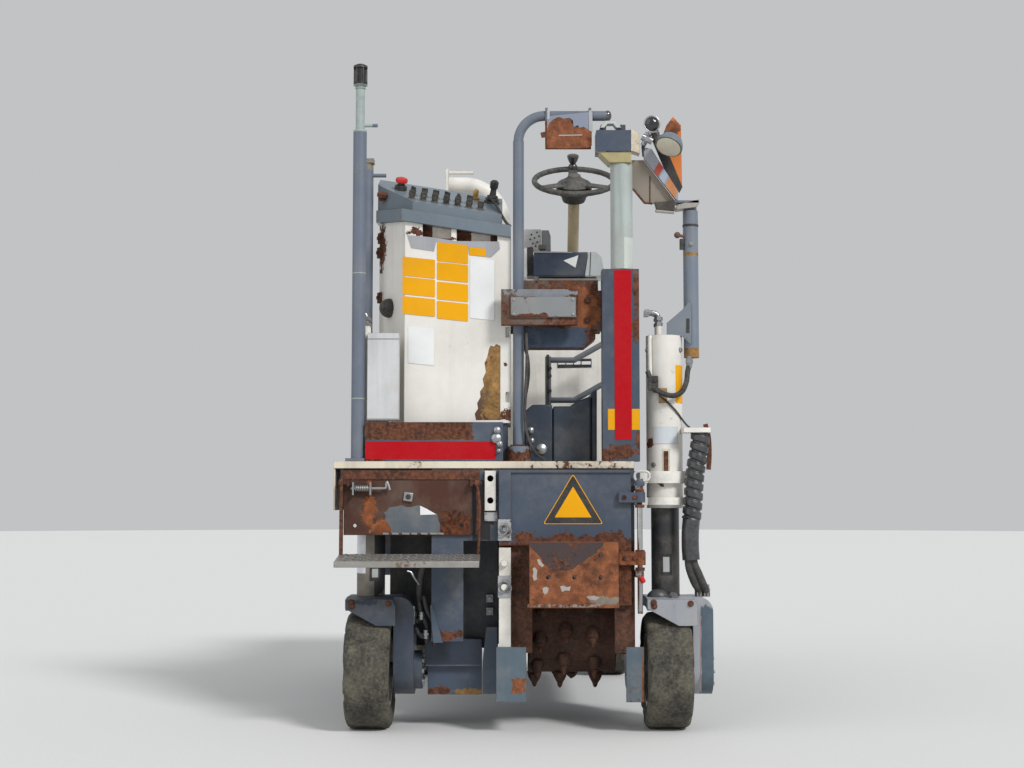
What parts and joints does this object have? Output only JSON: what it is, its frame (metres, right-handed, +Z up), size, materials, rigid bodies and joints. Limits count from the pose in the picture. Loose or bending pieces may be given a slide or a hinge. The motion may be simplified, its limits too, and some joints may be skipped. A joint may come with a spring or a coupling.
{
  "type": "compact wheeled cold planer milling machine",
  "caption": "Compact cold planer on solid tyres with rear lifting columns, a side milling drum, operator's stand, console and engine hood.",
  "frame": {"origin": "on the ground under the middle of the machine's box", "axes": "+X to the machine's right, +Y forward, +Z up"},
  "size_m": [1.49, 2.7999, 2.643],
  "materials": {
    "chassis_frame": "matt, dusty",
    "deck_plate": "satin, rusty edge",
    "rear_left_panel": "rusty, worn",
    "lashing_plate": "satin",
    "hydraulic_tank": "matt, dusty",
    "drum_housing": "matt, dusty",
    "drum_drive": "satin",
    "milling_drum": "rusty",
    "side_plates": "scraped",
    "scraper_door": "matt, rusty below",
    "door_hinge_rod": "bright",
    "latch_bar": "satin",
    "column_left": "satin, scuffed",
    "column_right": "satin, scuffed",
    "leg_left": "greasy",
    "leg_right": "greasy",
    "carrier_left": "satin, dusty",
    "carrier_right": "satin, dusty",
    "front_axle": "painted",
    "knuckle_left": "painted",
    "knuckle_right": "painted",
    "tie_rod": "painted",
    "engine_hood": "satin",
    "cowl": "satin",
    "engine_block": "oily",
    "radiator": "matt",
    "counterweight": "painted",
    "control_console": "satin, worn",
    "console_base": "rusty below",
    "control_panel": "satin",
    "document_box": "translucent grey",
    "exhaust_pipe": "satin, sooty",
    "dashboard": "satin",
    "steering_column": "satin",
    "steering_wheel": "worn",
    "seat_bracket": "rusty",
    "seat_cushion": "vinyl",
    "footwell": "satin",
    "guard_rails": "satin",
    "gooseneck_post": "satin",
    "reflector_post": "satin, rusty side",
    "lamp_arm": "worn, rusty",
    "beacon_mast": "satin",
    "left_post": "galvanised",
    "right_post": "satin",
    "folding_step": "scraped, muddy",
    "hoses_left": "matt",
    "hoses_right": "matt, spiral wrap",
    "tyre_rear_left": "worn, dusty",
    "rim_rear_left": "dusty",
    "tyre_rear_right": "worn, dusty",
    "rim_rear_right": "dusty",
    "tyre_front_left": "worn, dusty",
    "rim_front_left": "dusty",
    "tyre_front_right": "worn, dusty",
    "rim_front_right": "dusty"
  },
  "bodies": {
    "chassis": {"chassis_frame": "chassis_frame", "deck_plate": "deck_plate", "rear_left_panel": "rear_left_panel", "lashing_plate": "lashing_plate", "hydraulic_tank": "hydraulic_tank", "drum_housing": "drum_housing", "drum_drive": "drum_drive", "side_plates": "side_plates", "door_hinge_rod": "door_hinge_rod", "latch_bar": "latch_bar", "column_left": "column_left", "column_right": "column_right", "front_axle": "front_axle", "cowl": "cowl", "engine_block": "engine_block", "radiator": "radiator", "counterweight": "counterweight", "control_console": "control_console", "console_base": "console_base", "control_panel": "control_panel", "document_box": "document_box", "exhaust_pipe": "exhaust_pipe", "dashboard": "dashboard", "steering_column": "steering_column", "seat_bracket": "seat_bracket", "seat_cushion": "seat_cushion", "footwell": "footwell", "guard_rails": "guard_rails", "gooseneck_post": "gooseneck_post", "reflector_post": "reflector_post", "lamp_arm": "lamp_arm", "beacon_mast": "beacon_mast", "left_post": "left_post", "right_post": "right_post", "hoses_left": "hoses_left", "hoses_right": "hoses_right"},
    "leg_left": {"leg_left": "leg_left", "carrier_left": "carrier_left"},
    "leg_right": {"leg_right": "leg_right", "carrier_right": "carrier_right"},
    "drum": {"milling_drum": "milling_drum"},
    "door": {"scraper_door": "scraper_door"},
    "hood": {"engine_hood": "engine_hood"},
    "step": {"folding_step": "folding_step"},
    "steering_wheel": {"steering_wheel": "steering_wheel"},
    "knuckle_left": {"knuckle_left": "knuckle_left"},
    "knuckle_right": {"knuckle_right": "knuckle_right"},
    "tie_rod": {"tie_rod": "tie_rod"},
    "wheel_rear_left": {"tyre_rear_left": "tyre_rear_left", "rim_rear_left": "rim_rear_left"},
    "wheel_rear_right": {"tyre_rear_right": "tyre_rear_right", "rim_rear_right": "rim_rear_right"},
    "wheel_front_left": {"tyre_front_left": "tyre_front_left", "rim_front_left": "rim_front_left"},
    "wheel_front_right": {"tyre_front_right": "tyre_front_right", "rim_front_right": "rim_front_right"}
  },
  "joints": [
    {"name": "lift_left", "type": "slide", "parent": "chassis", "child": "leg_left", "axis": [0, 0, 1], "range_m": [0, 0.18], "deforming": ["hoses_left"]},
    {"name": "lift_right", "type": "slide", "parent": "chassis", "child": "leg_right", "axis": [0, 0, 1], "range_m": [0, 0.18], "deforming": ["hoses_right"]},
    {"name": "roll_rear_left", "type": "hinge", "parent": "leg_left", "child": "wheel_rear_left", "pos_m": [-0.608, -1.05, 0.2285], "axis": [1, 0, 0], "continuous": true},
    {"name": "roll_rear_right", "type": "hinge", "parent": "leg_right", "child": "wheel_rear_right", "pos_m": [0.568, -1.05, 0.2285], "axis": [1, 0, 0], "continuous": true},
    {"name": "steer_left", "type": "hinge", "parent": "chassis", "child": "knuckle_left", "pos_m": [-0.36, 0.85, 0.235], "axis": [0, 0, 1], "range_deg": [-35, 35]},
    {"name": "steer_right", "type": "hinge", "parent": "chassis", "child": "knuckle_right", "pos_m": [0.32, 0.85, 0.235], "axis": [0, 0, 1], "range_deg": [-35, 35]},
    {"name": "tie_rod_turn", "type": "hinge", "parent": "knuckle_left", "child": "tie_rod", "pos_m": [-0.36, 0.7, 0.198], "axis": [0, 0, 1], "range_deg": [-35, 35]},
    {"name": "roll_front_left", "type": "hinge", "parent": "knuckle_left", "child": "wheel_front_left", "pos_m": [-0.5, 0.85, 0.2285], "axis": [1, 0, 0], "continuous": true},
    {"name": "roll_front_right", "type": "hinge", "parent": "knuckle_right", "child": "wheel_front_right", "pos_m": [0.46, 0.85, 0.2285], "axis": [1, 0, 0], "continuous": true},
    {"name": "drum_spin", "type": "hinge", "parent": "chassis", "child": "drum", "pos_m": [0.195, -0.9, 0.39], "axis": [1, 0, 0], "continuous": true},
    {"name": "door_swing", "type": "hinge", "parent": "chassis", "child": "door", "pos_m": [0.453, -1.215, 0.75], "axis": [0, 0, 1], "range_deg": [0, 90]},
    {"name": "hood_open", "type": "hinge", "parent": "chassis", "child": "hood", "pos_m": [-0.0875, 1.35, 1.046], "axis": [-1, 0, 0], "range_deg": [0, 50]},
    {"name": "step_fold", "type": "hinge", "parent": "chassis", "child": "step", "pos_m": [-0.4435, -1.215, 0.965], "axis": [-1, 0, 0], "range_deg": [0, 90]},
    {"name": "steering_wheel_turn", "type": "hinge", "parent": "chassis", "child": "steering_wheel", "pos_m": [0.24, -0.28, 2.357], "axis": [0, -0.5, 0.866], "continuous": true}
  ],
  "couplings": [
    {"joint": "steer_right", "follows": "steer_left", "ratio": 1},
    {"joint": "tie_rod_turn", "follows": "steer_left", "ratio": -1}
  ]
}
